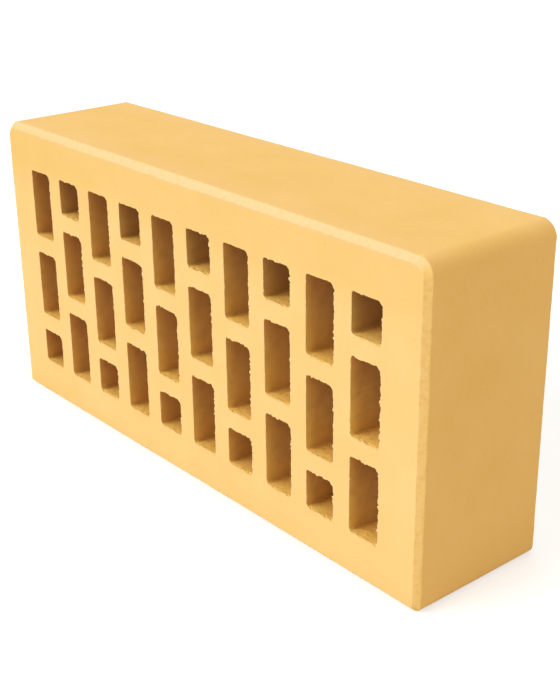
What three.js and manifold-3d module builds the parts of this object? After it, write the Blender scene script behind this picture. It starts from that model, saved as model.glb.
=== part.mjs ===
// Perforated clay facing brick, standing on one of its long side faces.
//
// Lengths are in millimetres. +X runs along the brick's length, +Y through its thickness from
// one bed face to the other, and +Z is up. The origin is the middle of the face it stands on.
//
// The brick is one fired piece. A die shapes a column of clay, well rounded at the corners of
// its upper side and almost sharp at the lower ones, and cores in the die leave the slots.
// Wires cut the column into bricks, so both bed faces are flat and every slot runs straight
// through. The sharp rim of each bed face is then taken off.

import * as THREE from "three";
import { mergeVertices } from "three/addons/utils/BufferGeometryUtils.js";
import Module from "manifold-3d";

// The block
const LENGTH = 250;
const HEIGHT = 124; // the brick's width when it is laid
const THICKNESS = 62; // from bed face to bed face, the distance between two cutting wires
const UPPER_RADIUS = 7; // the two long arrises of the upper side
const LOWER_RADIUS = 3; // the two that the brick stands on
const CORNER_STEPS = 6;
const RIM_CHAMFER = 2.5; // taken off all round each bed face, at 45 degrees

// The slots: ten columns of three, two long and one short in each
const COLUMNS = 10;
const COLUMN_PITCH = 22;
const SLOT_WIDTH = 13.5;
const LONG_SLOT = 28.5;
const SHORT_SLOT = 14.5;
const ROW_WEB = 8; // clay left between two slots of a column
const SLOT_CORNER_RADIUS = 2;
const SLOT_CORNER_STEPS = 3;
const SLOT_OVERRUN = 2; // how far a core reaches past each bed face, for a clean cut

// Neighbouring columns are laid out head to tail, so that no web runs straight across.
const LONG_FIRST = [LONG_SLOT, LONG_SLOT, SHORT_SLOT];
const SHORT_FIRST = [SHORT_SLOT, LONG_SLOT, LONG_SLOT];
const COLUMN_HEIGHT = 2 * LONG_SLOT + SHORT_SLOT + 2 * ROW_WEB;

const FIRED_CLAY = new THREE.MeshStandardMaterial({
  name: "fired_clay",
  color: 0xf3cc83,
  roughness: 0.95,
  metalness: 0,
});

// A rectangle centred on (x, y), with rounded corners that may differ between top and bottom.
function roundedRectangle(x, y, width, height, upper, lower = upper) {
  const left = x - width / 2;
  const right = x + width / 2;
  const bottom = y - height / 2;
  const top = y + height / 2;
  const outline = new THREE.Shape();
  outline.absarc(right - lower, bottom + lower, lower, -Math.PI / 2, 0);
  outline.absarc(right - upper, top - upper, upper, 0, Math.PI / 2);
  outline.absarc(left + upper, top - upper, upper, Math.PI / 2, Math.PI);
  outline.absarc(left + lower, bottom + lower, lower, Math.PI, 1.5 * Math.PI);
  outline.closePath();
  return outline;
}

// The clay column between two wires, with the rims of both bed faces chamfered. The outline is
// that of the bed face, and the bevel swells it by the chamfer to the full section.
function blockGeometry() {
  const bedFace = roundedRectangle(
    0,
    0,
    LENGTH - 2 * RIM_CHAMFER,
    HEIGHT - 2 * RIM_CHAMFER,
    UPPER_RADIUS - RIM_CHAMFER,
    LOWER_RADIUS - RIM_CHAMFER,
  );
  const block = new THREE.ExtrudeGeometry(bedFace, {
    depth: THICKNESS - 2 * RIM_CHAMFER,
    curveSegments: CORNER_STEPS,
    bevelEnabled: true,
    bevelSegments: 1,
    bevelSize: RIM_CHAMFER,
    bevelThickness: RIM_CHAMFER,
  });
  return block.translate(0, 0, RIM_CHAMFER - THICKNESS / 2);
}

// One slot's core, as long as the brick is thick and a little more.
function coreGeometry(x, y, slotHeight) {
  const slot = roundedRectangle(x, y, SLOT_WIDTH, slotHeight, SLOT_CORNER_RADIUS);
  const depth = THICKNESS + 2 * SLOT_OVERRUN;
  const core = new THREE.ExtrudeGeometry(slot, {
    depth,
    curveSegments: SLOT_CORNER_STEPS,
    bevelEnabled: false,
  });
  return core.translate(0, 0, -depth / 2);
}

// The slots of one column, set out from the top downwards.
function columnCores(column) {
  const x = (column - (COLUMNS - 1) / 2) * COLUMN_PITCH;
  const slotHeights = column % 2 === 0 ? LONG_FIRST : SHORT_FIRST;
  let top = COLUMN_HEIGHT / 2;
  return slotHeights.map((slotHeight) => {
    const core = coreGeometry(x, top - slotHeight / 2, slotHeight);
    top -= slotHeight + ROW_WEB;
    return core;
  });
}

const wasm = await Module();
wasm.setup();

// A closed three.js geometry as a solid that can be cut.
function toSolid(geometry) {
  const bare = geometry.clone();
  bare.deleteAttribute("normal");
  bare.deleteAttribute("uv");
  const merged = mergeVertices(bare);
  return new wasm.Manifold(
    new wasm.Mesh({
      numProp: 3,
      vertProperties: merged.attributes.position.array,
      triVerts: new Uint32Array(merged.index.array),
    }),
  );
}

// A cut solid back as a three.js geometry, with a flat normal on every facet.
function toGeometry(solid) {
  const { vertProperties, triVerts } = solid.getMesh();
  const indexed = new THREE.BufferGeometry();
  indexed.setAttribute("position", new THREE.BufferAttribute(vertProperties, 3));
  indexed.setIndex(new THREE.BufferAttribute(triVerts, 1));
  const faceted = indexed.toNonIndexed();
  faceted.computeVertexNormals();
  return faceted;
}

function perforatedBody() {
  let body = toSolid(blockGeometry());
  for (let column = 0; column < COLUMNS; column += 1) {
    for (const core of columnCores(column)) body = body.subtract(toSolid(core));
  }
  return toGeometry(body);
}

// The section is drawn upright in X and Y, and the quarter turn lays its depth along Y.
const brickBody = new THREE.Mesh(perforatedBody(), FIRED_CLAY);
brickBody.name = "brick_body";
brickBody.rotation.x = Math.PI / 2;
brickBody.position.z = HEIGHT / 2;

const brick = new THREE.Group();
brick.add(brickBody);

export default brick;
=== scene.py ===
# %% [markdown]
# # A perforated clay brick
# A facing brick is squeezed out of a die as a long column of clay and cut off by wires.
# The solid model already has its true size and its slots, but its faces are perfectly clean.
# This lesson makes the skin of the real thing: torn slot rims, dragged walls, softened
# edges and a sandy fired surface. It starts from the solid, which stays the measure of all.

# %% Load the solid and take its measure
from math import cos, pi, radians, sin, sqrt, tan

import bpy
import numpy as np
from mathutils import Matrix, Vector


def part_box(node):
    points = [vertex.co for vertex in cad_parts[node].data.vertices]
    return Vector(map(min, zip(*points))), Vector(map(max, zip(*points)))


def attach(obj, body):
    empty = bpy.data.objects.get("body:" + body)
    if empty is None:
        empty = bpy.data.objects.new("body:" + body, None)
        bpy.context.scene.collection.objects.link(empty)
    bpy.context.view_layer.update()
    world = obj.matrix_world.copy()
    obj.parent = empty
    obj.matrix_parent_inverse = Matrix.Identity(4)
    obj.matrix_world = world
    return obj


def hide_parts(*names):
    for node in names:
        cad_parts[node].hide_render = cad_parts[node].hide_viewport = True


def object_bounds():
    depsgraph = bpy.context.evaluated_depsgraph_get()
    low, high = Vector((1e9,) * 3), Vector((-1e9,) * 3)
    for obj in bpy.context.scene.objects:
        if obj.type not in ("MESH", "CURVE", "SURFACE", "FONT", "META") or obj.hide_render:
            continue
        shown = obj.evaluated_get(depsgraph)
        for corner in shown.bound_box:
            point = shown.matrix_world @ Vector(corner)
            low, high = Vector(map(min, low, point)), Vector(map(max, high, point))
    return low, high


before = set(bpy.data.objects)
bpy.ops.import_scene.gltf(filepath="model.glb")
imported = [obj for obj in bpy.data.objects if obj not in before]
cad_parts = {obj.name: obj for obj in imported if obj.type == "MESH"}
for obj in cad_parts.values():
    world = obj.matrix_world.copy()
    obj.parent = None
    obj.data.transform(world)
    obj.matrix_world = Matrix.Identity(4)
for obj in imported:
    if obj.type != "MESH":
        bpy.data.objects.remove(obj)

MM = 0.001
cad_low, cad_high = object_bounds()
low, high = (np.array(corner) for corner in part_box("brick_body"))
length, thickness, height = high - low
middle = (low + high) / 2
print("solid, mm:", np.round((high - low) / MM, 2))

# %% [markdown]
# ## The slots' setting out
# Ten columns of three slots fill the bed face. One column runs long, long, short from the
# top, and the next one short, long, long, so the webs between slots never line up. Each
# slot can be given a cell of clay that reaches half way to its neighbours. The cells fill
# one rectangle, and that makes the whole face easy to cover with regular grids.

# %% Sizes of the slots and their cells
COLUMNS = 10
COLUMN_PITCH = 22 * MM
SLOT_WIDTH = 13.5 * MM
LONG_SLOT = 28.5 * MM
SHORT_SLOT = 14.5 * MM
ROW_WEB = 8 * MM

LONG_CELL = LONG_SLOT + ROW_WEB
SHORT_CELL = SHORT_SLOT + ROW_WEB
LONG_FIRST = [LONG_CELL, LONG_CELL, SHORT_CELL]
SHORT_FIRST = [SHORT_CELL, LONG_CELL, LONG_CELL]
zone_height = sum(LONG_FIRST)
zone_width = COLUMNS * COLUMN_PITCH
zone_top = middle[2] + zone_height / 2
print("cells cover", round(zone_width / MM, 1), "by", round(zone_height / MM, 1), "mm")

# %% [markdown]
# ## One lattice for all the cells
# Two grids only join without a crack when they share the points of their common edge. The
# cell edges of both kinds of column cut the height into five stretches. Each stretch gets
# a fixed number of steps, so a cell edge always starts and ends on a step, whichever
# column it belongs to.

# %% Lattice lines across and down the face
STEPS_ACROSS = 48
STEPS_SHORT = 50
STEPS_REST = 30

stretches = [SHORT_CELL, LONG_CELL - SHORT_CELL] * 2 + [SHORT_CELL]
steps = [STEPS_SHORT, STEPS_REST] * 2 + [STEPS_SHORT]
down = np.concatenate(
    [np.full(count, stretch / count) for stretch, count in zip(stretches, steps)]
)
lattice_z = zone_top - np.concatenate([[0], np.cumsum(down)])
lattice_x = middle[0] + np.linspace(-0.5, 0.5, COLUMNS * STEPS_ACROSS + 1) * zone_width
print("lattice:", lattice_x.size, "by", lattice_z.size, "lines")

# %% [markdown]
# ## Walking round a rectangle
# Everything on the bed face is a closed walk: along the top, down the right side, back
# along the bottom and up the left side. A walk round a cell has a partner point on the
# slot's rounded outline for each of its own points. The partner is found by the share of
# the side that is walked, so the lines between the two never cross.

# %% Straight walks on the lattice
SIDE_ALONG = np.array([[1, 0], [0, -1], [-1, 0], [0, 1]], float)
SIDE_OUT = np.array([[0, 1], [1, 0], [0, -1], [-1, 0]], float)


def lattice_walk(xs, zs):
    """Points, side number and share of the side for a clockwise walk round a rectangle.

    xs run from left to right and zs from top to bottom. Each side leaves out its last
    point, which is the first point of the next side.
    """
    corners = [(xs[:-1], np.full(xs.size - 1, zs[0]))]
    corners.append((np.full(zs.size - 1, xs[-1]), zs[:-1]))
    corners.append((xs[:0:-1], np.full(xs.size - 1, zs[-1])))
    corners.append((np.full(zs.size - 1, xs[0]), zs[:0:-1]))
    points = np.concatenate([np.stack(side, axis=1) for side in corners])
    counts = [len(side[0]) for side in corners]
    side = np.repeat(np.arange(4), counts)
    across = (xs - xs[0]) / (xs[-1] - xs[0])
    fall = (zs - zs[0]) / (zs[-1] - zs[0])
    share = np.concatenate(
        [across[:-1], fall[:-1], 1 - across[:0:-1], 1 - fall[:0:-1]]
    )
    return points, side, share


walk, side, share = lattice_walk(lattice_x, lattice_z)
print("a walk round all the cells has", len(walk), "points")

# %% [markdown]
# The rounded partner walk is worked out in the frame of one side. A side begins in the
# middle of one corner's arc and ends in the middle of the next corner's arc. Where the
# walk is still on an arc, the angle is the walked length over the radius, and on the
# straight part the outward direction is simply the side's own. As a trial, the outline of
# the whole brick is walked with the radius of its lower edges.

# %% Rounded walks with their outward directions
LOWER_RADIUS = 3 * MM


def rounded_walk(centre, width, tall, radii, flats, side, share):
    """Points and outward directions on a rectangle whose four corners have own radii.

    radii go clockwise from the top left corner. The walked length of a side is an eighth
    of a turn of its first corner, the straight, and an eighth of a turn of its second.
    flats say how far each arc is pressed flat: from it, at 0, to its chord, at 1. At an
    angle t from the corner's diagonal the chord is cos(pi/4) / cos(t) radii away.
    """
    size = np.array([width, tall])[side % 2]
    first = np.asarray(radii)[side]
    second = np.asarray(radii)[(side + 1) % 4]
    lead, tail = first * pi / 4, second * pi / 4
    straight = size - first - second
    walked = share * (lead + straight + tail)
    turn = np.where(walked < lead, walked / first - pi / 4, 0)
    turn = np.where(walked > lead + straight, (walked - lead - straight) / second, turn)
    corner = np.where(turn < 0, side, side + 1) % 4
    radius = np.asarray(radii)[corner]
    flat = np.asarray(flats)[corner]
    reach = radius * (1 - flat + flat * cos(pi / 4) / np.cos(pi / 4 - np.abs(turn)))
    along = np.clip(walked - lead, 0, straight) + first + reach * np.sin(turn)
    sunk = reach * np.cos(turn) - radius
    out = SIDE_OUT[side]
    ahead = SIDE_ALONG[side]
    start = np.asarray(centre) + 0.5 * (
        out * np.array([tall, width])[side % 2][:, None] - ahead * size[:, None]
    )
    points = start + ahead * along[:, None] + out * sunk[:, None]
    normals = ahead * np.sin(turn)[:, None] + out * np.cos(turn)[:, None]
    return points, normals


trial, _ = rounded_walk((0, 0), length, height, [LOWER_RADIUS] * 4, [0] * 4, side, share)
print("rounded outline, mm:", np.round((trial.max(axis=0) - trial.min(axis=0)) / MM, 2))

# %% [markdown]
# ## Torn rims
# A core drags a little clay along when the column is cut, and dry clay breaks off along the
# slot rims. Each loss is a shallow bite with a round bottom. Where two bites meet, a small
# point of clay is left standing, and that is the ragged line one sees. The upper rims are
# bitten most, though less in the upper row of slots, the right-hand and lower ones finely,
# and the left-hand ones hardly at all.

# %% Bites along a rim
EDGE_WEAR = 0.05 * MM  # what is worn off even where nothing has broken away
CORNER_REST = 0.5 * MM  # the bites fade out over this length towards a corner
# for the top, right, bottom and left rim: widths and depths in mm, and how much is broken
BITES = [
    ((0.7, 2.2), (0.15, 0.70), 0.90),
    ((0.6, 1.5), (0.10, 0.60), 0.90),
    ((0.7, 1.7), (0.08, 0.50), 0.85),
    ((0.8, 1.8), (0.03, 0.16), 0.60),
]


def from_corner(along, side):
    """The length walked on a side, or still to be walked, whichever is less."""
    whole = np.array([along[side == number].max() for number in range(4)])[side]
    return np.minimum(along, whole - along)


def bitten(along, side, care, dice):
    """How far each rim point is worn back, with one bite next to another along each side.

    along is the length walked on the side. A bite of width w about its middle m is half an
    ellipse: its depth times sqrt(1 - (2 (along - m) / w)^2), and nothing at its two ends.
    care is the factor by which each side's depths differ from the usual ones.
    """
    worn = np.full(along.size, EDGE_WEAR)
    near = np.clip(from_corner(along, side) / CORNER_REST, 0, 1)
    for number, (widths, depths, broken) in enumerate(BITES):
        here = side == number
        count = int(along[here].max() / MM / widths[0]) + 2
        width = dice.uniform(*widths, count) * MM
        ends = np.cumsum(width)
        depth = dice.uniform(*depths, count) * (dice.random(count) < broken) * MM
        bite = np.searchsorted(ends, along[here])
        off = 1 - 2 * (ends[bite] - along[here]) / width[bite]
        worn[here] += near[here] * care[number] * depth[bite] * np.sqrt(np.clip(1 - off**2, 0, 1))
    return worn


print("deepest usual bites, mm:", [depths[1] for _, depths, _ in BITES])

# %% [markdown]
# Here and there the clay wasn't broken off but pushed over the rim. It stands into the slot
# as a small burr, pale where it was rubbed. A burr is the opposite of a bite, so it can be
# written as wear with a minus sign, and the two need only one list of numbers.

# %% Burrs on a rim
BURR_SPACING = 16 * MM  # one burr for so much rim, on average
BURR_WIDTHS = np.array([0.9, 1.6]) * MM
BURR_HEIGHTS = np.array([0.12, 0.30]) * MM
BURR_REST = 2  # burrs keep this many times CORNER_REST away from a corner


def with_burrs(worn, along, side, dice):
    """The wear, with a burr in place of it at a few random points of the rim.

    A burr of width w and height h about its middle m is a tent, h (1 - |2 (along - m) / w|).
    """
    burr = np.zeros(along.size)
    near = np.clip(from_corner(along, side) / CORNER_REST - BURR_REST, 0, 1)
    for number in range(4):
        here = side == number
        whole = along[here].max()
        count = dice.poisson(whole / BURR_SPACING)
        centre = dice.uniform(0, whole, count)[:, None]
        width = dice.uniform(*BURR_WIDTHS, count)[:, None]
        tall = dice.uniform(*BURR_HEIGHTS, count)[:, None]
        tents = tall * np.clip(1 - np.abs(2 * (along[here] - centre) / width), 0, 1)
        burr[here] = near[here] * tents.max(axis=0, initial=0)
    return np.where(burr > EDGE_WEAR, -burr, worn)


print("one burr for", round(BURR_SPACING / MM), "mm of rim")

# %% [markdown]
# ## Marks for the finish
# The finish differs from place to place, so each point of a grid also carries marks,
# numbers that the material can ask for: how much it is rubbed pale and painted with a sheen,
# how much bare sand it shows, how much it lies under crumbs and takes a floor's painted light,
# how deep in the slot it counts for painted shade, how much painted shade a slot gives it,
# and how much of the light it missed.
#
# Painted shade darkens and reddens a slot right under its ceiling, and is a little stronger
# towards the left end of the brick. The upper slots are dim, above all the short ones.

# %% Marks of a slot's inside and of a ring of points
MARKS = ["rub", "sand", "crumbs", "slot_depth", "missed_fire", "missed_light"]
UNDER_CEILING = 0.33  # share of painted shade on a wall right under a slot's ceiling
CEILING_REACH = 14 * MM
LEFT_END = 0.15  # share of painted shade added at the left end of the brick
ON_CRUMBS = 0.2  # what is left of this painted shade on a slot's floor
UPPER_LOSS = 0.043  # share of the light that is missed in a long slot of the upper row


def slot_shades(column, row, tall, crumbs, below):
    """The painted shade of each point of a slot's walk, and the share of the light that it misses.

    Under the ceiling the painted shade falls off as exp(-below / reach), and towards the
    right end it falls in a straight line. The loss of light is the upper row's alone, and
    goes by the square of how much shorter than a long slot this one is.
    """
    under = 1 - UNDER_CEILING * np.exp(-below / CEILING_REACH)
    end = 1 - LEFT_END * (1 - column / (COLUMNS - 1))
    bare = 1 - (1 - ON_CRUMBS) * crumbs
    light = UPPER_LOSS * (row == 0) * (LONG_SLOT / tall) ** 2
    return {"missed_fire": (1 - under * end) * bare, "missed_light": light * bare}


def marked(count, **given):
    """The marks of a ring's points, in the order of MARKS, with 0 for those not given."""
    return np.stack([np.broadcast_to(given.get(name, 0.0), count) for name in MARKS], axis=-1)


print("marks:", ", ".join(MARKS))

# %% [markdown]
# ## Half a slot
# Round the slot runs the walk, and into the brick runs a profile: from the cell's edge over
# the face to the rim, and over the worn lip to where the wall begins. So the surface is a
# grid of two numbers, the place on the walk and the station on the profile. The lip is the
# quarter turn between the face and the wall, and what is rubbed and what is bare sand fades
# out along it.

# %% Profile over the lip
COLLAR = 1.9 * MM  # the flat face is left untouched beyond this distance from the outline
HALO = 0.7 * MM  # a rim is rubbed pale as far as this from where it is worn to
LIP_TURN = np.radians([0, 40, 90])
LIP_RUB = [0.7, 0.4, 0.0]
LIP_SAND = [1.0, 0.7, 0.0]
RIM_WORN = np.array([0.6, 1.0, 0.1, 0.1])  # how much of both the top, right, bottom, left get
LIP_SLOPES = (1.4, 2.2)  # how deep a lip reaches for each millimetre that it is worn back
SCOOPED = 0.15 * MM  # a bite deeper than this is broken out, and no longer just worn


def as_grid(rings, face_y, inward):
    """Rings of (flat place, depth, marks) as one array: x, y and z, and then the marks.

    y is that of the face plus the depth, counted inwards.
    """
    flat, depth, marks = (np.stack(part) for part in zip(*rings))
    place = np.stack([flat[..., 0], face_y + inward * depth, flat[..., 1]], axis=-1)
    return np.concatenate([place, marks], axis=-1)


def half_slot(walk, outline, normals, along, side, inner, corner_shade_factor, face_y, inward, care, dice):
    """The grid from the cell's edge over the lip into the slot, on one side of the brick.

    A worn lip bulges: its points stand worn * (1 - sin turn) outside the outline and
    deep * (1 - cos turn) inside the face. A broken one is scooped out: there the two are
    worn * cos turn and deep * sin turn. inner holds the marks of a slot's inside, and the
    last argument the factor by which a point counts as deeper for the painted shade in a
    floor's corners.
    """
    worn = with_burrs(bitten(along, side, care, dice), along, side, dice)
    deep = np.abs(worn) * dice.uniform(*LIP_SLOPES)
    bulge = 1 - np.clip((worn - EDGE_WEAR) / SCOOPED, 0, 1)
    burr = np.clip(-worn / BURR_HEIGHTS[1], 0, 1)
    none = np.zeros(along.size)
    plain = marked(along.size)
    collar = outline + COLLAR * normals
    halo = outline + (np.maximum(worn, 0) + HALO)[:, None] * normals
    rings = [(flat, none, plain) for flat in (walk, collar, halo)]
    for turn, rub, sand in zip(LIP_TURN, LIP_RUB, LIP_SAND):
        out = worn * (bulge * (1 - sin(turn)) + (1 - bulge) * cos(turn))
        depth = deep * (bulge * (1 - cos(turn)) + (1 - bulge) * sin(turn))
        rubbed = np.maximum(rub * RIM_WORN[side], burr * cos(turn))
        flat = outline + out[:, None] * normals
        sandy = sand * RIM_WORN[side]
        lip = marked(along.size, rub=rubbed, sand=sandy, slot_depth=depth * corner_shade_factor, **inner)
        rings.append((flat, depth, lip))
    return as_grid(rings, face_y, inward)


print("stations from a cell's edge to the wall:", 3 + LIP_TURN.size)

# %% [markdown]
# ## A whole slot
# Two halves with bites of their own meet in a ring at the middle of the brick. A core is
# never quite smooth, so that ring carries the ridges that the core drew along the wall. The
# corners of a slot are small and all a little different. The ends of its floor lie in such
# a corner and count as deeper than the floor's middle, so that painted shade gathers there.

# %% From the front cell edge through to the back one
SEED = 20
SLOT_TORN = (0.75, 1.2)  # how deep the bites of a slot may be, of the usual depth
FIRST_COLUMN_TORN = 0.6  # what is left of that depth in the first column
UPPER_ROW_TORN = 0.55  # and along the upper rims of the upper row
BACK_RINGS = [0, 1, 3, 5]  # what the unseen back needs of the front's six
DRAG = 0.05 * MM  # height of the ridges that the core leaves along the wall
# how round the corners are, and how far pressed flat, clockwise from the top left one
CORNER_RADII = np.array([0.8, 1.5, 0.6, 1.1]) * MM
CORNER_FLATS = [0, 0.35, 0, 0.4]
CORNERS_DIFFER = (0.85, 1.15)  # a slot's own radii, as shares of these
CORNER_SHADE = 1.5  # a point right in a corner of the floor counts as deeper by this share, for painted shade in the corner
CORNER_REACH = 1.8 * MM  # and this far from it the share is down to about a third


def slot_grid(column, row):
    """All stations of one slot, from the front cell edge through to the back cell edge.

    Crumbs, and a floor's painted light, lie on what faces up, by the square of the outward
    direction's downward part. At the ends of the floor a depth counts more for the painted
    shade, by a share that falls off towards its middle as exp(-distance / reach). A ridge is
    half the sum of three neighbouring random heights.
    """
    dice = np.random.default_rng([SEED, column, row])
    cells = LONG_FIRST if column % 2 == 0 else SHORT_FIRST
    top = zone_top - sum(cells[:row])
    first = np.abs(lattice_z - top).argmin()
    last = np.abs(lattice_z - top + cells[row]).argmin()
    xs = lattice_x[column * STEPS_ACROSS : (column + 1) * STEPS_ACROSS + 1]
    zs = lattice_z[first : last + 1]
    walk, side, share = lattice_walk(xs, zs)
    centre = [(xs[0] + xs[-1]) / 2, (zs[0] + zs[-1]) / 2]
    tall = cells[row] - ROW_WEB
    radii = CORNER_RADII * dice.uniform(*CORNERS_DIFFER, 4)
    outline, normals = rounded_walk(centre, SLOT_WIDTH, tall, radii, CORNER_FLATS, side, share)
    along = share * np.array([SLOT_WIDTH, tall])[side % 2]
    ridges = dice.normal(0, DRAG, along.size)
    ridges = (ridges + np.roll(ridges, 1) + np.roll(ridges, -1)) / 2
    dragged = outline + ridges[:, None] * normals
    care = dice.uniform(*SLOT_TORN) * (1 if column else FIRST_COLUMN_TORN) * np.ones(4)
    care[0] *= 1 if row else UPPER_ROW_TORN
    # what faces up in a slot: crumbs, and a floor's painted light
    crumbs = np.clip(-normals[:, 1], 0, 1) ** 2
    # painted shade gathers in the corners of the floor
    corner_shade_factor = 1 + CORNER_SHADE * crumbs * np.exp(-from_corner(along, side) / CORNER_REACH)
    below = outline[:, 1].max() - outline[:, 1]
    inner = {"crumbs": crumbs, **slot_shades(column, row, tall, crumbs, below)}
    shape = (walk, outline, normals, along, side, inner, corner_shade_factor)
    front = half_slot(*shape, low[1], 1, care, dice)
    back = half_slot(*shape, high[1], -1, care, dice)[BACK_RINGS]
    half_way = np.full(along.size, thickness / 2)
    deepest = marked(along.size, slot_depth=half_way * corner_shade_factor, **inner)
    centre_ring = [(dragged, half_way, deepest)]
    return np.concatenate([front, as_grid(centre_ring, low[1], 1), back[::-1]])


slots = [slot_grid(column, row) for column in range(COLUMNS) for row in range(3)]
print(len(slots), "slots,", sum(grid[..., 0].size for grid in slots), "points")

# %% [markdown]
# ## The chamfer
# The sharp rim of each bed face is rubbed off at 45 degrees, by hand or by a brush. Both
# edges that this makes are a little rounded. Three points are enough for each of them.

# %% Profile of a chamfer
RIM_CHAMFER = 2.5 * MM
EDGE_SOFTNESS = 0.3 * MM


def chamfer_profile(leg):
    """Insets and depths of a chamfer with both edges rounded, for each leg length.

    An edge is rounded between two points EDGE_SOFTNESS from it, and its middle point is
    drawn in along the bisector by the softness times tan(pi/8) over two.
    """
    soft = EDGE_SOFTNESS
    slant = soft / sqrt(2)
    drawn = soft * tan(pi / 8) / 2
    near, far = drawn * cos(pi / 8), drawn * sin(pi / 8)
    zero = np.zeros_like(leg)
    insets = [leg + soft, leg + far, leg - slant, zero + slant, zero + near, zero]
    depths = insets[::-1]
    return np.stack(insets), np.stack(depths)


print("insets of a chamfer, mm:", np.round(chamfer_profile(np.array(RIM_CHAMFER))[0] / MM, 2))

# %% [markdown]
# A hand doesn't rub evenly, so the chamfer's width wanders along the edge, more in front
# than at the back. It also becomes narrower towards the right. Many cosines round the whole
# walk add up to such a wander, and they meet again where the walk closes.

# %% How wide the chamfer is along the walk
LEG_WANDER = np.array([0.03, 0.04, 0.01, 0.03])  # of the leg: top, right, bottom and left
LEG_WAVES = (3, 300)  # the slowest and the finest cosine, in waves round the brick
NARROWED = 0.87  # of a chamfer's leg, what is left of it at the right end


def leg_lengths(points, along, side, wanders, dice):
    """The chamfer's leg along the walk: its mean and a sum of cosines, less high the finer.

    Towards a corner it settles at the mean, as a longer leg would not fit the corner's arc.
    The mean falls in a straight line from the middle of the brick to its right end.
    """
    narrow = 1 - (1 - NARROWED) * np.clip((points[:, 0] - middle[0]) / (length / 2), 0, 1)
    calm = np.clip(from_corner(along, side) / (2 * LOWER_RADIUS), 0, 1)
    around = np.linspace(0, 2 * pi, len(points), endpoint=False)
    turns = np.arange(*LEG_WAVES)
    swell = dice.normal(0, 1, turns.size) / turns**0.5
    phase = dice.uniform(0, 2 * pi, turns.size)
    wander = (swell * np.cos(around[:, None] * turns + phase)).sum(axis=1)
    wander *= LEG_WANDER[side] * calm / wander.std()
    return RIM_CHAMFER * narrow * (1 + wanders * wander)


print("mean leg at the right end, mm:", round(RIM_CHAMFER * NARROWED / MM, 2))

# %% [markdown]
# ## The outside as a grid
# The outside is the same idea as a slot, turned inside out. The walk goes round the block
# of cells, and the profile leads over the margin of the bed face, down the chamfer, across
# the side faces and back up the other chamfer.
#
# The two upper long edges are tighter than the die's own round, because the clay settled
# outwards there. Towards the back they are also pressed a little flat. The chamfers show
# bare sand, and those that face up are painted pale, a painted sheen of the light from above.

# %% From the front block of cells to the back one
MARGIN_SHARES = np.array([0.4, 0.85])
SIDE_RINGS = 3
# painted sheen of the light from above, for each point of a chamfer's profile, on chamfers that
# face up
CHAMFER_SHEEN = [0.3, 0.8, 1.0, 1.0, 0.8, 0.3]
CHAMFER_SAND = [0.0, 1.0, 0.9, 0.9, 0.9, 0.1]
# of the front and of the back
UPPER_EDGES = np.array([5.8, 5.0]) * MM
UPPER_FLATS = [0.1, 0.35]
WANDERS = [1.0, 0.4]  # how much of the chamfer's wander they get


def outer_grid():
    """All stations of the outside, from the front block of cells to the back one.

    The margin lies between the walk round the cells and the chamfer's first ring, by fixed
    shares, and the side is divided evenly between the two chamfers. A chamfer takes a painted
    sheen of the light from above by the cube of the outward direction's upward part.
    """
    dice = np.random.default_rng([SEED, COLUMNS])
    walk, side, share = lattice_walk(lattice_x, lattice_z)
    centre = (middle[0], middle[2])
    along = share * np.array([length, height])[side % 2]
    none = np.zeros(len(walk))
    plain = marked(len(walk))
    halves = []
    two_faces = zip((low[1], high[1]), (1, -1), UPPER_EDGES, UPPER_FLATS, WANDERS)
    for face_y, inward, upper, pressed, wanders in two_faces:
        radii = [upper, upper, LOWER_RADIUS, LOWER_RADIUS]
        flats = [pressed, pressed, 0, 0]
        outline, normals = rounded_walk(centre, length, height, radii, flats, side, share)
        # painted sheen: the more a chamfer faces up, the paler it is painted
        sheen_from_above = np.clip(normals[:, 1], 0, 1) ** 3
        insets, depths = chamfer_profile(leg_lengths(outline, along, side, wanders, dice))
        flat = outline - insets[..., None] * normals
        rings = [
            (walk * (1 - out) + flat[0] * out, none, plain)
            for out in (0, *MARGIN_SHARES)
        ]
        rings += [
            (ring, depth, marked(len(walk), rub=rub * sheen_from_above, sand=sand))
            for ring, depth, rub, sand in zip(flat, depths, CHAMFER_SHEEN, CHAMFER_SAND)
        ]
        halves.append(as_grid(rings, face_y, inward))
    front, back = halves
    share_across = np.linspace(0, 1, SIDE_RINGS + 2)[1:-1, None, None]
    sides = front[-1] * (1 - share_across) + back[-1] * share_across
    sides[..., 3:] = 0
    return np.concatenate([front, sides, back[::-1]])


shell = outer_grid()
print("outside:", shell.shape[0], "rings of", shell.shape[1], "points")

# %% [markdown]
# ## Sewing the grids together
# Each grid is closed round its walk, and its first and last ring lie on the lattice. Points
# of different grids that share a place become one point, and the brick is then a single
# closed skin. A slot's walk runs the other way round its surface than the outside's does,
# so its faces are taken in the opposite order to make them all look outwards.

# %% Faces of a grid and one mesh of all grids
SAME_PLACE = 0.001 * MM


def grid_faces(rings, around, first, flip):
    """Four-cornered faces between neighbouring rings and neighbouring points of a ring."""
    index = first + np.arange(rings * around).reshape(rings, around)
    ahead = np.roll(index, -1, axis=1)
    quads = [index[:-1], ahead[:-1], ahead[1:], index[1:]]
    quads = quads[::-1] if flip else quads
    return np.stack(quads, axis=-1).reshape(-1, 4)


grids = slots + [shell]
starts = np.cumsum([0] + [grid[..., 0].size for grid in grids])
points = np.concatenate([grid.reshape(-1, grid.shape[-1]) for grid in grids])
faces = np.concatenate(
    [
        grid_faces(*grid.shape[:2], first, flip=grid is not shell)
        for grid, first in zip(grids, starts)
    ]
)
places = np.round(points[:, :3] / SAME_PLACE).astype(np.int64)
_, kept, merged = np.unique(places, axis=0, return_index=True, return_inverse=True)
points, marks = points[kept, :3], points[kept, 3:]
faces = merged.reshape(-1)[faces]
print(len(points), "points,", 2 * len(faces), "triangles")

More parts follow.
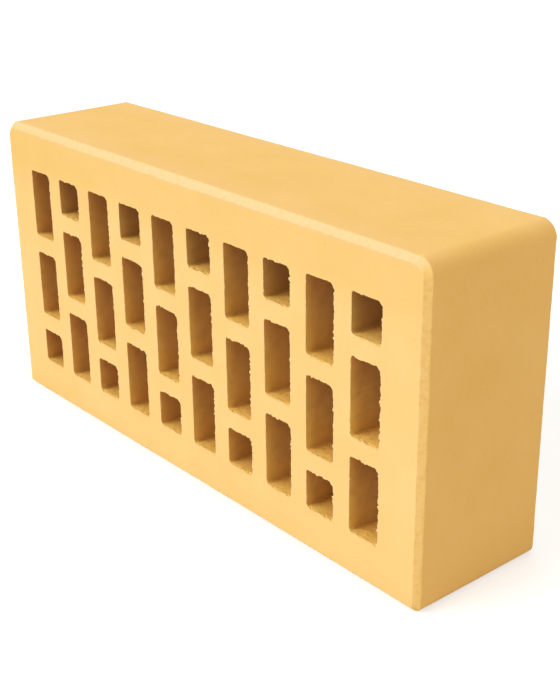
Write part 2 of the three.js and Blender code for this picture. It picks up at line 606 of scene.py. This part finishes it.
# %% [markdown]
# A mesh is made straight from these two arrays. A quick count proves that it is closed:
# on a closed skin of four-cornered faces there are exactly twice as many edges as faces.

# %% Make the piece
skin = bpy.data.meshes.new("brick_skin")
skin.from_pydata(points, [], faces)
skin.update()
brick = bpy.data.objects.new("fired_brick", skin)
bpy.context.scene.collection.objects.link(brick)
print("closed:", len(skin.edges) == 2 * len(skin.polygons))

# %% [markdown]
# ## Surfaces that were once soft
# No face of a fired brick is truly flat. It has bowed a little while drying, and it bears
# faint dents from rollers and hands. A sum of plane waves of random direction gives such a
# surface: long waves for the bow and shorter ones for the dents. Each point is moved along
# all three axes by such waves. They change slowly from place to place, so even the finest
# rim is carried along whole and never folds over. The block is first drawn in by the most
# that a wave may add, and so keeps within its nominal size.

# %% Waves and the settling of the skin
BOW = 0.05 * MM
BOW_WAVES = (90 * MM, 260 * MM)
DENTS = 0.015 * MM
DENT_WAVES = (9 * MM, 30 * MM)
MOST = 0.18 * MM


def waves(places, shortest, longest, seed, count=32):
    """A smooth random value at each place, about 0 on average and about 1 in spread.

    It is the sum of sine waves of equal height with random directions, phases and lengths.
    """
    dice = np.random.default_rng(seed)
    heading = dice.normal(size=(count, 3))
    heading /= np.linalg.norm(heading, axis=1)[:, None]
    reach = np.exp(dice.uniform(np.log(shortest), np.log(longest), count))
    phase = dice.uniform(0, 2 * pi, count)
    turns = places @ (heading * 2 * pi / reach[:, None]).T + phase
    return np.sin(turns).sum(axis=1) * sqrt(2 / count)


drift = np.stack(
    [
        BOW * waves(points, *BOW_WAVES, seed) + DENTS * waves(points, *DENT_WAVES, seed + 3)
        for seed in (1, 2, 3)
    ],
    axis=1,
)
drift = np.clip(drift, -MOST, MOST)
points = middle + (points - middle) * (1 - 2 * MOST / (high - low)) + drift
skin.vertices.foreach_set("co", points.ravel())
skin.update()
print("moved by up to", np.round(np.abs(drift).max() / MM, 2), "mm")

# %% [markdown]
# ## Marks on the mesh
# The marks that the grids carried go into the mesh as attributes of its points. The
# material can then ask for them by name at any place on the skin.

# %% Marks as attributes
for name, values in zip(MARKS, marks.T):
    layer = skin.attributes.new(name, "FLOAT", "POINT")
    layer.data.foreach_set("value", values.astype(np.float32))
print("highest marks:", dict(zip(MARKS, np.round(marks.max(axis=0), 3))))

# %% [markdown]
# ## Soft light over soft edges
# The skin is shaded smooth, so the rounded corners look round, except where two faces meet
# at more than the angle below. Weighting each point's shading by the size of its faces
# keeps the wide flat faces flat right up to the small ones along their edges.

# %% Smooth shading
CREASE = radians(35)
skin.polygons.foreach_set("use_smooth", np.ones(len(skin.polygons), bool))
skin.set_sharp_from_angle(angle=CREASE)
weighted = brick.modifiers.new("flat_faces_stay_flat", "WEIGHTED_NORMAL")
weighted.keep_sharp = True
print("shading set on", len(skin.polygons), "faces")

# %% [markdown]
# ## Fired clay
# The colour of this clay is a warm straw yellow. Close up it is a fine sand: light and
# dark grains, a few rusty specks, and cloudy patches as wide as a thumb. It has hardly any
# gloss. The finish is mixed from noises of those sizes, read in the object's own
# coordinates, so that it is as large on the brick as it would be in the hand. A few short
# helpers keep the making of the nodes readable. The first ones make a colour, a node and
# a noise, and ask for a mark.

# %% Helpers that make something
def linear(red, green, blue):
    """A colour on the 0 to 255 scale of a colour chart, as the linear numbers of a shader."""
    chart = np.array([red, green, blue]) / 255
    value = np.where(chart <= 0.04045, chart / 12.92, ((chart + 0.055) / 1.055) ** 2.4)
    return (*value, 1.0)


def add(tree, kind, inputs=None, **settings):
    """A new node with its settings, and its inputs given by name: values or other sockets."""
    node = tree.nodes.new(kind)
    for name, value in settings.items():
        setattr(node, name, value)
    for name, value in (inputs or {}).items():
        if isinstance(value, bpy.types.NodeSocket):
            tree.links.new(value, node.inputs[name])
        else:
            node.inputs[name].default_value = value
    return node


def noise(tree, place, size, detail=2.0, roughness=0.5):
    """Noise whose patches are about size metres across, as a number from 0 to 1."""
    inputs = {"Vector": place, "Scale": 1 / size, "Detail": detail, "Roughness": roughness}
    return add(tree, "ShaderNodeTexNoise", inputs).outputs["Fac"]


def mark(tree, name):
    """One of the marks that the mesh carries."""
    return add(tree, "ShaderNodeAttribute", attribute_name=name).outputs["Fac"]


print("half way up the chart is", round(linear(128, 128, 128)[0], 3), "of white")

# %% [markdown]
# The others take what there is and change or mix it.

# %% Helpers that mix
def spread(tree, value, start, end, low_end=0.0, high_end=1.0):
    """value, moved from the range start to end to the range low_end to high_end."""
    inputs = {"Value": value, "From Min": start, "From Max": end}
    inputs.update({"To Min": low_end, "To Max": high_end})
    return add(tree, "ShaderNodeMapRange", inputs).outputs["Result"]


def blend(tree, share, under, over, kind="MIX"):
    """Two colours mixed by a share from 0 to 1."""
    node = add(tree, "ShaderNodeMix", data_type="RGBA", blend_type=kind)
    sockets = (node.inputs[0], node.inputs[6], node.inputs[7])
    for socket, value in zip(sockets, (share, under, over)):
        if isinstance(value, bpy.types.NodeSocket):
            tree.links.new(value, socket)
        else:
            socket.default_value = value
    return node.outputs[2]


def toned(tree, share, colour, tone):
    """A colour multiplied by a tone, as far as the share from 0 to 1 says."""
    return blend(tree, share, colour, tone, kind="MULTIPLY")


def sum_of(tree, *values):
    """The sum of several numbers."""
    total = values[0]
    for value in values[1:]:
        total = add(tree, "ShaderNodeMath", {0: total, 1: value}, operation="ADD").outputs[0]
    return total


def times(tree, value, factor):
    """A number times another."""
    return add(tree, "ShaderNodeMath", {0: value, 1: factor}, operation="MULTIPLY").outputs[0]


print("helpers that mix are ready")

# %% [markdown]
# ### Grains and specks
# Straw goes over to honey in cloudy patches. On that lie grains and dust, each a noise of
# its own size, of which only the high or only the low values show.

# %% Straw with its spots
STRAW = linear(247, 206, 132)
HONEY = linear(243, 200, 122)
PALE = linear(250, 203, 164)
GOLD = linear(246, 203, 112)
RUST = linear(228, 161, 66)
CLOUDS = 22 * MM
CLOUD_RANGE = (0.3, 0.7)
# for each kind of spot: its size, the detail and roughness of its noise, the noise at which
# it starts and at which it is full, its strength there, and its colour
SPOTS = [
    (1.1 * MM, 3, 0.7, 0.50, 0.75, 0.30, PALE),
    (1.1 * MM, 3, 0.7, 0.42, 0.25, 0.22, RUST),
    (2.6 * MM, 1, 0.5, 0.72, 0.78, 0.12, RUST),
    (0.6 * MM, 2, 0.6, 0.50, 0.70, 0.22, PALE),
    (0.6 * MM, 2, 0.6, 0.50, 0.30, 0.30, GOLD),
]


def spotted_clay(tree, place):
    """Straw to honey by the clouds, and over it one kind of spot after another."""
    clouds = noise(tree, place, CLOUDS, detail=4)
    colour = blend(tree, spread(tree, clouds, *CLOUD_RANGE), STRAW, HONEY)
    for size, detail, roughness, start, full, strength, tint in SPOTS:
        spots = noise(tree, place, size, detail, roughness)
        colour = blend(tree, spread(tree, spots, start, full, 0, strength), colour, tint)
    return colour


print(len(SPOTS), "kinds of spots on straw", np.round(STRAW[:3], 3))

# %% [markdown]
# ### Bare sand, rubbed rims and painted sheen
# On chamfers and worn rims the closed skin is gone. Lighter sand shows there, with a few
# rusty grains. Where a rim was rubbed, it is pale in patches. The chamfers that face up have
# the same pale patches as a painted sheen of the light from above. How much of each there
# is, the marks say.

# %% Worn places
SANDY = linear(255, 214, 138)
# pale of rubbed rims, and of the painted sheen on chamfers that face up
RUBBED_AND_SHEEN = linear(243, 203, 169)
SAND_COVERS = 0.8
RUSTY_GRAINS = (0.55, 0.35, 0.0, 0.25)  # from this noise to that one, and the strengths there
PALE_PATCHES = (0.35, 0.65, 0.45, 0.7)  # the same
PATCH = 2 * MM


def worn_clay(tree, place, colour):
    """The colour under sand with rusty grains, and under the pale patches of rubbed rims and of
    painted sheen.
    """
    sand = mark(tree, "sand")
    colour = blend(tree, times(tree, sand, SAND_COVERS), colour, SANDY)
    grains = spread(tree, noise(tree, place, PATCH, detail=3, roughness=0.6), *RUSTY_GRAINS)
    colour = blend(tree, times(tree, sand, grains), colour, RUST)
    patches = spread(tree, noise(tree, place, PATCH), *PALE_PATCHES)
    # rubbed rims and the painted sheen on chamfers that face up are pale in patches
    return blend(tree, times(tree, mark(tree, "rub"), patches), colour, RUBBED_AND_SHEEN)


print("sand in a shader's numbers:", np.round(SANDY[:3], 3))

# %% [markdown]
# ### Drawn skin and darker edge bands
# The column slides past the die and the cores, which closes its skin and makes it a touch
# darker and more honey-coloured than the two faces that the wire cut. The cut faces are also
# darker and more golden in a band along their upper edge, with a faint one along the lower
# edge, and both are strongest at the left. Such a change is a tone, a colour that the clay's
# own colour is multiplied by.

# %% Tones of the outside
DRAWN = (1.0, 0.965, 0.85, 1.0)
DRAWN_FROM, DRAWN_FULL = 0.3 * MM, 2.2 * MM  # measured from the bed face
EDGE_BAND = (0.945, 0.905, 0.75, 1.0)
WEAKEST_BAND = 9 * MM  # how far below the middle of the face the band is weakest
BAND_FROM, BAND_FULL = 41 * MM, 56 * MM  # measured from there, up and down
BAND_RIGHT = 0.55  # of the band, what is left of it from the middle to the right


def drawn_skin(tree, place):
    """1 on what slid past the die or a core, and 0 on the two faces that the wire cut."""
    split = add(tree, "ShaderNodeSeparateXYZ", {0: place})
    offset = add(tree, "ShaderNodeMath", {0: split.outputs["Y"]}, operation="ABSOLUTE")
    cut = thickness / 2
    return spread(tree, offset.outputs[0], cut - DRAWN_FROM, cut - DRAWN_FULL)


def edge_band(tree, place):
    """Up to 1 along a bed face's upper edge and less along the lower, falling to the right."""
    split = add(tree, "ShaderNodeSeparateXYZ", {0: place})
    weakest_band = middle[2] - WEAKEST_BAND
    above = add(tree, "ShaderNodeMath", {0: split.outputs["Z"], 1: weakest_band}, operation="SUBTRACT")
    offset = add(tree, "ShaderNodeMath", {0: above.outputs[0]}, operation="ABSOLUTE")
    band = spread(tree, offset.outputs[0], BAND_FROM, BAND_FULL)
    return times(tree, band, spread(tree, split.outputs["X"], low[0], middle[0], 1.0, BAND_RIGHT))


print("drawn skin keeps", DRAWN[:3], "of the colour")

# %% [markdown]
# ### Inside a slot
# The clay in a slot is painted with light and shade by depth: golden at the mouth and greyer
# further in. Painted shade under the ceiling makes it darker and redder, and what missed the
# light is dimmer and yellower. The walls are faintly stained. The slot floors keep crumbs and
# dust and are streaked where the cut dragged them along; they are painted more golden than
# the walls, for the light that reaches them.

# %% Tones of a slot
# painted light and shade at the mouth, further in and deep, and the depths between which one gives
# way to the next
WALL_LIGHT_AND_SHADE = [(1.06, 1.10, 0.83, 1.0), (0.925, 0.93, 0.90, 1.0), (0.87, 0.95, 1.22, 1.0)]
WALL_DEPTHS = [(1.5 * MM, 5.5 * MM), (5.5 * MM, 13 * MM)]
# a floor is painted more golden than a wall, for the light that reaches it
FLOOR_LIGHT_AND_SHADE = [(0.89, 0.78, 0.45, 1.0), (1.10, 1.10, 0.74, 1.0), (0.88, 0.79, 0.52, 1.0)]
FLOOR_DEPTHS = [(0.1 * MM, 1.2 * MM), (2.0 * MM, 6.0 * MM)]
STAIN = (0.90, 0.88, 0.87, 1.0)
STAIN_SIZE = 5 * MM
STAIN_RANGE = (0.4, 0.7)  # the noise at which stains begin and at which they are full
STREAK = (0.85, 0.81, 0.74, 1.0)
STREAK_SIZE = 0.9 * MM
STREAK_RANGE = (0.50, 0.75)
STREAK_DRAWN_OUT = (0.3, 1, 1)  # the noise is read this much slower along the brick
CRUMB_RANGE = (0.5, 0.3)  # between crumbs it is as dark as in a streak
# what is left of the colour under a slot's full painted shade, and where all the light would be
# missed
DEEP_SLOT_SHADE = (0.48, 0.0, 0.05, 1.0)
UNLIT = (0.0, 0.12, 0.55, 1.0)


def painted_by_depth(tree, tones, depths):
    """Painted light and shade by depth: the first tone at the mouth of a slot, giving way to the
    next ones further in.
    """
    depth = mark(tree, "slot_depth")
    tone = tones[0]
    for deeper, (start, end) in zip(tones[1:], depths):
        tone = blend(tree, spread(tree, depth, start, end), tone, deeper)
    return tone


def slot_stains_and_shade(tree, place):
    """The tone of what is in a slot: stained walls, streaked and crumbly floors, and their painted
    light and shade.
    """
    stains = noise(tree, place, STAIN_SIZE, detail=1)
    wall = painted_by_depth(tree, WALL_LIGHT_AND_SHADE, WALL_DEPTHS)
    wall = toned(tree, spread(tree, stains, *STAIN_RANGE), wall, STAIN)
    swept = add(
        tree, "ShaderNodeVectorMath", {0: place, 1: STREAK_DRAWN_OUT}, operation="MULTIPLY"
    )
    streaks = noise(tree, swept.outputs[0], STREAK_SIZE, detail=3, roughness=0.6)
    crumbling = noise(tree, place, STREAK_SIZE, detail=2, roughness=0.6)
    floor = painted_by_depth(tree, FLOOR_LIGHT_AND_SHADE, FLOOR_DEPTHS)
    floor = toned(tree, spread(tree, streaks, *STREAK_RANGE), floor, STREAK)
    floor = toned(tree, spread(tree, crumbling, *CRUMB_RANGE), floor, STREAK)
    # floors, where crumbs lie, take their own painted light and shade
    tone = blend(tree, mark(tree, "crumbs"), wall, floor)
    # painted shade under a slot's ceiling and towards the left end: darker and redder
    tone = toned(tree, mark(tree, "missed_fire"), tone, DEEP_SLOT_SHADE)
    return toned(tree, mark(tree, "missed_light"), tone, UNLIT)


print("tones of a slot's wall:", [tone[:3] for tone in WALL_LIGHT_AND_SHADE])

# %% [markdown]
# ### The colour as a whole
# The clay is spotted first, then worn, and last it takes the tones of its place. The edge
# band is one of a cut face only, so that tone is left out where the skin is drawn. A slot's
# tone, with its painted light and shade, comes in over the first part of the lip.

# %% The clay's colour
INSIDE_FROM, INSIDE_FULL = 0.02 * MM, 0.15 * MM


def clay_colour(tree, place):
    """Spotted and worn clay, multiplied by the tones of drawn skin, edge bands and what is in a
    slot with its painted light and shade.
    """
    colour = worn_clay(tree, place, spotted_clay(tree, place))
    drawn = drawn_skin(tree, place)
    banded = times(tree, edge_band(tree, place), spread(tree, drawn, 0, 1, 1, 0))
    inside = spread(tree, mark(tree, "slot_depth"), INSIDE_FROM, INSIDE_FULL)
    colour = toned(tree, drawn, colour, DRAWN)
    colour = toned(tree, banded, colour, EDGE_BAND)
    return toned(tree, inside, colour, slot_stains_and_shade(tree, place))


clay = bpy.data.materials.new("fired_clay")
clay.use_nodes = True
tree = clay.node_tree
shader = tree.nodes["Principled BSDF"]
place = add(tree, "ShaderNodeTexCoord").outputs["Object"]
tree.links.new(clay_colour(tree, place), shader.inputs["Base Color"])
print("the colour takes", len(tree.nodes), "nodes")

# %% [markdown]
# ### Relief
# Some of the relief is too fine for the mesh: sand of under a millimetre, and a gentle
# unevenness from the die. Both are heights in metres, so the bump has a true size. Crumbs
# add a coarser relief of their own on the slot floors, and bare sand a finer one where the
# skin is gone.

# %% The finished material
ROUGHNESS = 0.92
GLOSS = 0.25
BUMP_STRENGTH = 0.6
# for sand, unevenness, crumbs and bare sand: the size of the noise, its detail and
# roughness, how high it stands, and the mark that says where, if it isn't everywhere
RELIEFS = [
    (0.7 * MM, 3, 0.65, 0.10 * MM, None),
    (6.0 * MM, 2, 0.5, 0.14 * MM, None),
    (1.8 * MM, 3, 0.5, 0.50 * MM, "crumbs"),
    (1.0 * MM, 3, 0.5, 0.08 * MM, "sand"),
]


def relief(tree, place):
    """The sum of all the reliefs, as a height in metres."""
    heights = []
    for size, detail, roughness, tall, where in RELIEFS:
        part = noise(tree, place, size, detail, roughness)
        part = times(tree, part, mark(tree, where)) if where else part
        heights.append(times(tree, part, tall))
    return sum_of(tree, *heights)


bump = add(tree, "ShaderNodeBump", {"Height": relief(tree, place), "Strength": BUMP_STRENGTH})
bump.inputs["Distance"].default_value = 1.0
tree.links.new(bump.outputs["Normal"], shader.inputs["Normal"])
shader.inputs["Roughness"].default_value = ROUGHNESS
shader.inputs["Specular IOR Level"].default_value = GLOSS
skin.materials.append(clay)
print("clay has", len(tree.nodes), "nodes")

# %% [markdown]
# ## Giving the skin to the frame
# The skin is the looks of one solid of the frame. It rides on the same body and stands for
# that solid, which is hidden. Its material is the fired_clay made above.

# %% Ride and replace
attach(brick, "root")
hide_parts("brick_body")
print("pieces:", [brick.name])

# %% [markdown]
# ## A plain table
# The brick stands on a pale floor that runs out of sight. The camera sees the floor nearly
# white, but the light it throws back on the brick is that of an honest pale surface. Its
# shadow stays, because only a part of what the camera sees is added on top of the shading.

# %% Floor
FLOOR_HALF = 8.0
FLOOR_TONE = 0.55
FLOOR_LIFT = 0.62  # added for the camera alone


def looked_at(tree):
    """1 for a ray that shows a surface to the camera, direct or in a gloss, and otherwise 0."""
    path = add(tree, "ShaderNodeLightPath")
    rays = [path.outputs[f"Is {kind} Ray"] for kind in ("Camera", "Glossy", "Transmission")]
    return spread(tree, sum_of(tree, *rays), 0, 1)


floor_mesh = bpy.data.meshes.new("floor")
corners = np.array([[-1, -1, 0], [1, -1, 0], [1, 1, 0], [-1, 1, 0]]) * FLOOR_HALF
floor_mesh.from_pydata(corners, [], [[0, 1, 2, 3]])
floor = bpy.data.objects.new("floor", floor_mesh)
floor.location.z = cad_low.z
bpy.context.scene.collection.objects.link(floor)

paper = bpy.data.materials.new("paper")
paper.use_nodes = True
tree = paper.node_tree
shader = tree.nodes["Principled BSDF"]
shader.inputs["Base Color"].default_value = (FLOOR_TONE, FLOOR_TONE, FLOOR_TONE, 1)
shader.inputs["Roughness"].default_value = 0.9
shader.inputs["Specular IOR Level"].default_value = 0.0
shader.inputs["Emission Color"].default_value = (1, 1, 1, 1)
tree.links.new(times(tree, looked_at(tree), FLOOR_LIFT), shader.inputs["Emission Strength"])
floor_mesh.materials.append(paper)
print("floor:", 2 * FLOOR_HALF, "m square")

# %% [markdown]
# ## Soft studio light
# The perforated face is the brightest, the top a little less, and the end face gets only a
# weak fill. So one large soft lamp shines from the front, from the left and a little above.
# It grazes the slots, whose visible walls look away from it. The fill comes from the right,
# along the perforated face, where it can't shine into the slots. The room itself is dim.

# %% Room and lamps
ROOM_LIGHT = 0.37
ROOM_TINT = (1.0, 0.98, 0.82)
# for each lamp: where it is seen, its share of white, how wide it looks in degrees, its tint
LAMPS = {
    "key": (Vector((-0.35, -0.82, 0.45)), 0.85, 40, (0.905, 0.94, 0.99)),
    "skylight": (Vector((-0.25, 0.25, 1.0)), 0.25, 50, (0.90, 0.945, 1.0)),
    "fill": (Vector((1.0, 0.10, 0.25)), 0.322, 40, (1.0, 0.785, 0.57)),
}

world = bpy.data.worlds.new("room")
bpy.context.scene.world = world
world.use_nodes = True
tree = world.node_tree
backdrop = tree.nodes["Background"]
dim = (*(ROOM_LIGHT * part for part in ROOM_TINT), 1.0)
tree.links.new(blend(tree, looked_at(tree), dim, (1, 1, 1, 1)), backdrop.inputs["Color"])

for name, (towards, level, width, tint) in LAMPS.items():
    lamp = bpy.data.lights.new(name, "SUN")
    lamp.energy = level * pi  # so that a face square to the lamp gets just this share of white
    lamp.angle = radians(width)
    lamp.color = tint
    stand = bpy.data.objects.new(name, lamp)
    stand.rotation_euler = towards.to_track_quat("Z", "Y").to_euler()
    bpy.context.scene.collection.objects.link(stand)
print("lamps:", list(LAMPS))

# %% [markdown]
# ## The view
# The camera stands to the right of the brick and above it, close enough for the far end to
# look clearly smaller. It is held a little askew, by less than a degree.

# %% Camera
EYE = Vector((0.3661, -0.2917, 0.2462))
LOOKS_LEFT = radians(49.86)
LOOKS_DOWN = radians(23.03)
TILT = radians(0.56)
LENS = 65.60
SENSOR = 36.0

view = bpy.data.cameras.new("view")
view.lens = LENS
view.sensor_width = SENSOR
camera = bpy.data.objects.new("view", view)
ahead = Vector(
    (-sin(LOOKS_LEFT) * cos(LOOKS_DOWN), cos(LOOKS_LEFT) * cos(LOOKS_DOWN), -sin(LOOKS_DOWN))
)
turned = ahead.to_track_quat("-Z", "Y").to_matrix() @ Matrix.Rotation(-TILT, 3, "Z")
camera.matrix_world = Matrix.Translation(EYE) @ turned.to_4x4()
bpy.context.scene.collection.objects.link(camera)
bpy.context.scene.camera = camera
bpy.context.scene.view_settings.view_transform = "Standard"
print("camera at", np.round(EYE, 3))
